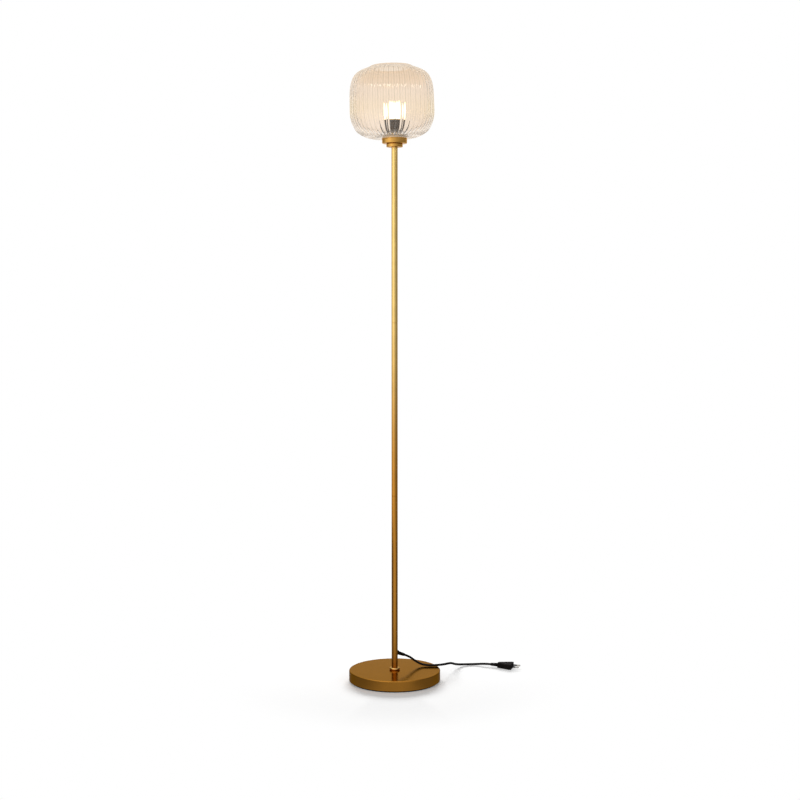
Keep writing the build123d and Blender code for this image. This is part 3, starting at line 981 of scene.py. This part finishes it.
@dataclass
class Bulb:
    """Lit pearl bulb with a 45 mm globe on a 27 mm screw cap."""

    globe_radius: float = 0.0225
    neck_radius: float = 0.0122
    wall: float = 0.0009
    cap_radius: float = 0.0132
    cap_wall: float = 0.0004
    cap_depth: float = 0.0009
    tangent_drop: float = 0.0155
    throat_rise: float = 0.001
    lit_drop: float = 1.2
    lit_reach: float = 1.5
    columns: int = 96

    def build(self, screw_pitch: float) -> None:
        """Make the globe and the threaded cap, and dress the rest.

        Args:
            screw_pitch: The pitch of the cap's thread, in metres.
        """
        dress(NICKEL, "bulb_contact")
        dress(Moulding("black_glass", (0.01, 0.01, 0.012), 0.12, texture=600.0, coat=0.6), "bulb_insulator")
        dress(ClearGlass("stem_glass", (0.95, 0.96, 0.95), 0.02), "bulb_stem")
        dress(Glow("filament", (1.0, 0.72, 0.34), 0.5), "bulb_filaments")
        self.globe()
        self.cap(screw_pitch)

    def half_outline(self, shrink: float) -> np.ndarray:
        """Outline of the globe from its foot to its crown, moved inwards by a wall.

        Args:
            shrink: How far inside the outer surface it lies, in metres.

        Returns:
            Points as (radius, height), with the crown last.
        """
        foot = low("bulb_glass")
        centre = high("bulb_glass") - self.globe_radius
        sphere = self.globe_radius - shrink
        scale = sphere / self.globe_radius
        meet_angle = -np.arcsin(self.tangent_drop / self.globe_radius)
        meet = np.array([sphere * cos(meet_angle), centre - self.tangent_drop * scale])
        throat = np.array([self.neck_radius - shrink, high("bulb_cap") + self.throat_rise])
        lean = np.array([-sin(meet_angle), cos(meet_angle)])
        flare = fair_curve(np.stack([throat, meet]), np.array([0.0, 1.0]), lean, 14)
        angles = np.linspace(meet_angle, pi / 2, 46)[1:]
        crown = np.stack([sphere * np.cos(angles), centre + sphere * np.sin(angles)], axis=1)
        crown[-1, 0] = 0.0
        stub = np.array([[self.neck_radius - shrink, foot]])
        return np.concatenate([stub, flare, crown])

    def globe(self) -> None:
        """Make the hollow glass globe: outer outline up to the crown, then the inner one back down."""
        outline = np.concatenate([self.half_outline(0.0), self.half_outline(self.wall)[::-1]])
        lit_centre = high("bulb_glass") - self.lit_drop * self.globe_radius
        lit_reach = self.lit_reach * self.globe_radius
        finish = LitGlobe("lit_pearl_glass", (1.0, 0.86, 0.56), 0.3, centre=lit_centre, reach=lit_reach)
        globe = turned(outline, self.columns)
        mesh_piece("bulb_globe", globe, finish, Body.BULB, "bulb_glass")

    def cap(self, pitch: float) -> None:
        """Make the pressed screw cap: a thin wall whose thread shows inside and outside.

        Args:
            pitch: The thread's pitch, in metres.
        """
        bottom, top = low("bulb_cap"), high("bulb_cap")
        heights = np.linspace(bottom, top, 90)
        outside = np.stack([np.full_like(heights, self.cap_radius), heights], axis=1)
        outline = np.concatenate([outside, outside[::-1] - [self.cap_wall, 0.0]])
        ends = (bottom - pitch, top - 0.5 * pitch)
        swell = thread_swell(outline, self.columns, pitch, self.cap_depth, ends)
        rows = turned(outline, self.columns, swell)
        mesh_piece("bulb_cap_threaded", rows, NICKEL, Body.BULB, "bulb_cap")


@dataclass
class Shade:
    """Ribbed glass, open on top, that sits a little to the left of its hole and leans that way."""

    radius: float = 0.1022
    height: float = 0.1732
    sideways: float = 0.0045
    lean: float = 1.3
    drop: float = 0.0009
    wall: float = 0.0032
    floor: float = 0.0054
    seat_floor: float = 0.0038
    hole_radius: float = 0.0212
    seat_radius: float = 0.0314
    ring_seat_radius: float = 0.0302
    foot_radius: float = 0.038
    neck_radius: float = 0.058
    neck_height: float = 0.1688
    neck_slope: float = 0.42
    lip_radius: float = 0.0505
    lip_wall: float = 0.003
    rib_count: int = 48
    rib_depth: float = 0.0012
    groove_depth: float = 0.0004
    groove_width: float = 0.4
    columns_per_rib: int = 12
    outer_rows: int = 104
    plain_mark: float = 0.3
    belly: list[tuple[float, float]] = field(
        default_factory=lambda: [
            (0.560, 0.009),
            (0.735, 0.052),
            (0.858, 0.108),
            (0.928, 0.178),
            (0.982, 0.268),
            (1.000, 0.470),
            (0.990, 0.680),
            (0.948, 0.812),
            (0.868, 0.902),
            (0.730, 0.962),
        ]
    )

    def build(self) -> None:
        """Make the glass in place of its node."""
        finish = RibbedGlass("ribbed_glass", (0.935, 0.855, 0.775), 0.015)
        rows = self.surface()
        piece = mesh_piece("ribbed_shade", rows, finish, Body.STAND, "glass_shade")
        piece.visible_shadow = False
        self.mark_ribs(piece.data)

    def across(self) -> np.ndarray:
        """Where each column lies on its rib, from -1 in a valley over 0 on the crest to 1."""
        columns = self.rib_count * self.columns_per_rib
        return 2 * ((np.arange(columns) / self.columns_per_rib + 0.5) % 1.0) - 1

    def mark_ribs(self, mesh: bpy.types.Mesh) -> None:
        """Keep each point's place on its rib as an attribute: the square of the way to the valley.

        Args:
            mesh: The glass, whose first rows are the ribbed ones.
        """
        marks = np.full(len(mesh.vertices), self.plain_mark)
        ribbed = np.tile(self.across() ** 2, self.outer_rows)
        marks[:len(ribbed)] = ribbed
        mesh.attributes.new("rib", "FLOAT", "POINT").data.foreach_set("value", marks)

    def meridian(self, count: int) -> np.ndarray:
        """Outer outline from foot to neck, through the belly's points.

        Args:
            count: How many rows to return.

        Returns:
            The rows as (radius, height).
        """
        belly = np.array(self.belly) * [self.radius, self.neck_height]
        knots = np.concatenate([[[self.foot_radius, 0.0]], belly, [[self.neck_radius, self.neck_height]]])
        slope = np.array([-1.0, self.neck_slope]) / hypot(1.0, self.neck_slope)
        return fair_curve(knots, np.array([1.0, 0.0]), slope, count)

    def surface(self) -> np.ndarray:
        """Grid of the whole glass.

        The outer wall is the meridian moved inwards along its normal by the ribs, whose depth is
        the square of the distance from a rib's middle, 1 in the valleys, plus a shallow groove
        along the crest, and fades towards foot and neck. The lip and the smooth inner wall
        follow. The hole and its two seats are rings about the lamp's own axis.

        Returns:
            Rows by columns by 3 coordinates.
        """
        columns = self.rib_count * self.columns_per_rib
        angle = np.arange(columns) * (2 * pi / columns)
        outer = self.meridian(self.outer_rows)
        along = np.gradient(outer, axis=0)
        along /= np.linalg.norm(along, axis=1, keepdims=True)
        inward = np.stack([-along[:, 1], along[:, 0]], axis=1)
        share = np.linspace(0.0, 1.0, len(outer))
        fade = np.clip(share / 0.06, 0.0, 1.0) * np.clip((1 - share) / 0.05, 0.0, 1.0)
        across = self.across()
        groove = self.groove_depth * np.clip(1 - np.abs(across) / self.groove_width, 0.0, None) ** 2
        depth = fade[:, None] * (self.rib_depth * across**2 + groove)[None, :]
        ribbed = outer[:, None, :] + depth[:, :, None] * inward[:, None, :]
        wall = self.wall + (self.floor - self.wall) * np.clip(1 - 3 * share, 0.0, None)
        inner = (outer + inward * wall[:, None])[::-3]
        bore = self.lip_radius - self.lip_wall
        inner = inner[inner[:, 0] > bore]
        lip = rounded(
            [
                (self.neck_radius - 0.002, self.neck_height + 0.0006),
                (self.lip_radius + 0.001, self.height - 0.0022),
                (self.lip_radius, self.height),
                (bore, self.height),
                (bore, self.neck_height - 0.003),
            ],
            0.0013,
        )
        smooth = np.concatenate([lip, inner])
        rows = np.concatenate([ribbed, np.repeat(smooth[:, None, :], columns, axis=1)])
        seat = high("shade_gasket")
        body = self.placed(rows, angle, seat - self.drop)
        rings = [(self.ring_seat_radius, None), (self.ring_seat_radius, seat + self.seat_floor)]
        rings += [(self.hole_radius, seat + self.seat_floor), (self.hole_radius, seat)]
        rings += [(self.seat_radius, seat), (self.seat_radius, None)]
        floors = {0: self.floor, 5: 0.0}
        own = [
            self.ring(radius, angle, height, floors.get(step, 0.0), seat - self.drop)
            for step, (radius, height) in enumerate(rings)
        ]
        return np.concatenate([body, np.stack(own)])

    def placed(self, rows: np.ndarray, angle: np.ndarray, bottom: float) -> np.ndarray:
        """Turn rows round the glass's own axis, lean them and move them into place.

        Args:
            rows: Rows by columns as (radius, height).
            angle: Each column's angle.
            bottom: The height of the glass's foot.

        Returns:
            Rows by columns by 3 coordinates.
        """
        lean = radians(self.lean)
        x = rows[:, :, 0] * np.cos(angle)
        y = rows[:, :, 0] * np.sin(angle)
        z = rows[:, :, 1]
        return np.stack(
            [
                x * cos(lean) - z * sin(lean) - self.sideways,
                y,
                x * sin(lean) + z * cos(lean) + bottom,
            ],
            axis=2,
        )

    def ring(
        self, radius: float, angle: np.ndarray, height: float | None, floor: float, bottom: float
    ) -> np.ndarray:
        """Ring about the lamp's axis, at one height or on the leaning floor of the glass.

        Args:
            radius: The ring's radius.
            angle: Each column's angle.
            height: Its height, or None on the leaning floor.
            floor: How thick the glass is under the leaning floor.
            bottom: The height of the glass's foot.

        Returns:
            Columns by 3 coordinates.
        """
        x = radius * np.cos(angle)
        y = radius * np.sin(angle)
        lean = radians(self.lean)
        leaning = bottom + (floor + (x + self.sideways) * sin(lean)) / cos(lean)
        z = leaning if height is None else np.full_like(x, height)
        return np.stack([x, y, z], axis=1)


@dataclass
class MainsCord:
    """Black cord from the pole's bush over the base and the floor to its plug."""

    radius: float = 0.0028
    length: float = 0.3133
    points: list[Point] = field(
        default_factory=lambda: [
            (0.0227, 0.0191, 0.0603),
            (0.0355, 0.0298, 0.0536),
            (0.0505, 0.0345, 0.0410),
            (0.0660, 0.0325, 0.0326),
            (0.0840, 0.0285, 0.0310),
            (0.1025, 0.0285, 0.0312),
            (0.1205, 0.0345, 0.0315),
            (0.1340, 0.0515, 0.0300),
            (0.1425, 0.0770, 0.0245),
            (0.1510, 0.1060, 0.0145),
            (0.1640, 0.1330, 0.0064),
            (0.1830, 0.1465, 0.0034),
            (0.2060, 0.1485, 0.0032),
            (0.2288, 0.1383, 0.0070),
            (0.2450, 0.1330, 0.0070),
        ]
    )

    def build(self) -> None:
        """Lay the cord as one smooth spline, and dress what it carries and comes out of."""
        dress(JACKET, "cord_bush", "inner_cable", "plug_body", "plug_sleeves")
        dress(NICKEL, "plug_pins")
        line = bpy.data.curves.new("mains_cord", "CURVE")
        line.dimensions = "3D"
        line.bevel_depth = self.radius
        line.bevel_resolution = 6
        line.resolution_u = 14
        line.use_fill_caps = True
        spline = line.splines.new("NURBS")
        spline.points.add(len(self.points) - 1)
        spline.points.foreach_set("co", np.ravel([(*point, 1.0) for point in self.points]))
        spline.order_u = 3
        spline.use_endpoint_u = True
        line.materials.append(JACKET.material())
        piece = new_object("mains_cord", line)
        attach(piece, Body.STAND.value)
        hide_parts("power_cord")
        log.info("piece mains_cord: %.0f mm", 1000 * self.length)


@dataclass(frozen=True)
class SoftBox:
    """A soft rectangular lamp aimed at a point."""

    name: str
    place: Point
    aim: Point
    size: tuple[float, float]
    power: float
    in_metal: bool = True

    def build(self) -> None:
        """Add the lamp, which neither the camera nor glass shows."""
        lamp = bpy.data.lights.new(self.name, "AREA")
        lamp.shape = "RECTANGLE"
        lamp.size, lamp.size_y = self.size
        lamp.energy = self.power
        stand = new_object(self.name, lamp)
        stand.location = self.place
        stand.rotation_euler = (Vector(self.aim) - Vector(self.place)).to_track_quat("-Z", "Y").to_euler()
        stand.visible_camera = False
        stand.visible_transmission = False
        stand.visible_glossy = self.in_metal


@dataclass(frozen=True)
class Drum:
    """Round screen about the lamp, with a ring on the floor, that only reflections show.

    It is bright in front and dark at both sides, which shades the pole as a round one. Above the
    cord its light moves to the left, and beside the glass it is even and warm. A beaded band high
    up gives the glints on the glass's shoulder. Spans are angles from the front in radians, or
    heights in metres, over which one level of light goes over into another.
    """

    foot_radius: float = 0.114
    radius: float = 0.42
    floor_gap: float = 0.001
    height: float = 1.72
    columns: int = 96
    foot_front: float = 0.52
    foot_side: float = 0.26
    foot_turn: Span = (0.2, 1.0)
    foot_rise: Span = (0.002, 0.02)
    front: float = 1.0
    side: float = 0.16
    back: float = 0.62
    front_turn: Span = (0.4, 1.3)
    back_turn: Span = (2.0, 2.8)
    upper_left: float = 1.5
    upper_right: float = 0.36
    upper_back: float = 1.0
    left_turn: Span = (-2.2, -1.1)
    right_turn: Span = (-0.9, 1.0)
    upper_back_turn: Span = (1.9, 2.7)
    upper_rise: Span = (0.27, 0.36)
    glass_level: float = 0.95
    glass_warmth: Colour = (1.0, 0.87, 0.73)
    glass_rise: Span = (1.365, 1.41)
    band: float = 9.0
    band_bottom: Span = (1.515, 1.525)
    band_top: Span = (1.55, 1.56)
    band_turn: Span = (1.0, 1.6)
    beads: float = 8.0
    bead: Span = (0.3, 0.9)

    def build(self) -> None:
        """Add the screen."""
        angle = np.linspace(0.0, 2 * pi, self.columns, endpoint=False)
        around = np.stack([np.cos(angle), np.sin(angle)], axis=1)
        low = self.floor_gap
        outline = [(self.foot_radius, low), (self.radius, low), (self.radius, self.height)]
        rings = [np.insert(radius * around, 2, height, axis=1) for radius, height in outline]
        first = np.arange(self.columns)
        second = np.roll(first, -1)
        band = np.stack([first, second, second + self.columns, first + self.columns], axis=1)
        faces = np.concatenate([band, band + self.columns])
        mesh = bpy.data.meshes.new("drum")
        mesh.from_pydata(np.concatenate(rings).tolist(), [], faces.tolist())
        screen = new_object("drum", mesh)
        material, kit = new_material("drum")
        kit.show(kit.emission(self.light(kit)))
        mesh.materials.append(material)
        screen.visible_camera = False
        screen.visible_diffuse = False
        screen.visible_shadow = False
        screen.visible_transmission = False

    def light(self, kit: NodeKit) -> Socket:
        """Light given off at a place on the screen.

        Args:
            kit: Adds nodes to the material.

        Returns:
            The light's colour.
        """
        x, y, z = kit.parts(kit.place())
        turn = kit.math("ARCTAN2", x, 0.0 - y)
        away = turn.size()
        foot = away.ramp(*self.foot_turn, self.foot_front, self.foot_side)
        lower = away.ramp(*self.front_turn, self.front, self.side)
        lower = lower + away.ramp(*self.back_turn, 0.0, self.back - self.side)
        left = kit.math("MINIMUM", turn.ramp(*self.left_turn), turn.ramp(*self.right_turn, 1.0, 0.0))
        upper = self.upper_right + left * (self.upper_left - self.upper_right)
        upper = upper + away.ramp(*self.upper_back_turn, 0.0, self.upper_back - self.upper_right)
        level = self.change(z.ramp(*self.foot_rise), foot, lower)
        level = self.change(z.ramp(*self.upper_rise), level, upper)
        beside_glass = z.ramp(*self.glass_rise)
        level = self.change(beside_glass, level, self.glass_level)
        band = z.ramp(*self.band_bottom) * z.ramp(*self.band_top, 1.0, 0.0)
        band = band * (turn * self.beads).sine().ramp(*self.bead, 0.0, self.band)
        level = level + band * away.ramp(*self.band_turn, 1.0, 0.0)
        return kit.scaled(kit.blend(beside_glass, (1.0, 1.0, 1.0), self.glass_warmth), level)

    @staticmethod
    def change(share: Value, first: Value, second: Value | float) -> Value:
        """A level that goes from the first to the second as the share goes from 0 to 1."""
        return first * (1.0 - share) + share * second


@dataclass
class Studio:
    """White floor, pale surroundings, soft lamps and the camera."""

    camera_place: Point = (0.0131, -3.5, 0.936)
    camera_pitch: float = 3.021
    camera_shift: float = -0.03
    lens: float = 64.765
    sensor: float = 36.0
    floor_reach: float = 30.0
    floor_colour: float = 0.85
    floor_lift: float = 0.16
    shadow_reach: float = 0.22
    room_level: float = 0.35

    def build(self) -> None:
        """Set up everything round the lamp."""
        self.camera()
        self.world()
        self.floor()
        for box in self.lamps():
            box.build()
        Drum().build()
        bpy.context.scene.view_settings.view_transform = "Standard"

    def camera(self) -> None:
        """Place the camera level with the photograph's."""
        lens = bpy.data.cameras.new("camera")
        lens.lens = self.lens
        lens.sensor_width = self.sensor
        lens.shift_y = self.camera_shift
        stand = new_object("camera", lens)
        stand.location = self.camera_place
        stand.rotation_euler = Euler((radians(90 - self.camera_pitch), 0.0, 0.0))
        bpy.context.scene.camera = stand

    def seen(self, kit: NodeKit) -> Value:
        """1 for rays that show the surroundings, straight on or in metal and glass, and 0 for light.

        Args:
            kit: Adds nodes to the material or the world.

        Returns:
            The number.
        """
        rays = kit.node("ShaderNodeLightPath")
        kinds = ("Camera", "Glossy", "Transmission")
        shown = [Value(kit, rays.outputs[f"Is {kind} Ray"]) for kind in kinds]
        return kit.math("MINIMUM", shown[0] + shown[1] + shown[2], 1.0)

    def world(self) -> None:
        """White where it is seen, and a plain level of light elsewhere."""
        world = bpy.data.worlds.new("room")
        world.use_nodes = True
        bpy.context.scene.world = world
        kit = NodeKit(world.node_tree)
        level = self.room_level + self.seen(kit) * (1.0 - self.room_level)
        kit.show(kit.emission((1.0, 1.0, 1.0, 1.0), level, "Background"), "World")

    def floor(self) -> None:
        """White floor that keeps the shadow near the lamp and goes over into the white room further off."""
        reach = self.floor_reach
        corners = [(-reach, -reach, 0), (reach, -reach, 0), (reach, reach, 0), (-reach, reach, 0)]
        mesh = bpy.data.meshes.new("floor")
        mesh.from_pydata(corners, [], [(0, 1, 2, 3)])
        material, kit = new_material("floor")
        place = kit.place()
        x, y, _ = kit.parts(place)
        pale = (self.floor_colour,) * 3
        duller = (self.floor_colour * 0.99,) * 3
        seen = self.seen(kit)
        lit = kit.principled(
            {
                "Base Color": kit.blend(kit.noise(place, 9.0, 2.0), pale, duller),
                "Roughness": 0.9,
                "Specular IOR Level": 0.0,
                "Emission Color": kit.vector(seen, seen, seen),
                "Emission Strength": self.floor_lift,
            }
        )
        far = x.distance(y).ramp(self.shadow_reach, 2 * self.shadow_reach) * seen
        kit.show(kit.mix(far, lit, kit.emission((1.0, 1.0, 1.0, 1.0))))
        mesh.materials.append(material)
        new_object("floor", mesh)

    def lamps(self) -> list[SoftBox]:
        """Wide light behind, which throws the shadow forward, and weak ones in front."""
        return [
            SoftBox("back", (-0.1, 3.6, 1.9), (0.0, 0.0, 0.0), (2.6, 1.4), 219.0, in_metal=False),
            SoftBox("key", (-1.9, -1.9, 2.3), (0.0, 0.0, 1.1), (0.9, 1.2), 12.0),
            SoftBox("fill", (1.8, -2.2, 1.6), (0.0, 0.0, 0.8), (1.0, 1.4), 5.0),
        ]


@dataclass
class Lamp:
    """The whole lamp, one sub-assembly after another."""

    screw_pitch: float = 0.003629

    def build(self) -> None:
        """Build every sub-assembly."""
        MainsCord().build()
        Base().build()
        Pole().build()
        Head().build()
        Lampholder().build(self.screw_pitch)
        Bulb().build(self.screw_pitch)
        Shade().build()


def main() -> None:
    """Build the studio and the lamp."""
    logging.basicConfig(level=logging.INFO, format="%(message)s")
    Studio().build()
    Lamp().build()


if __name__ == "__main__":
    main()
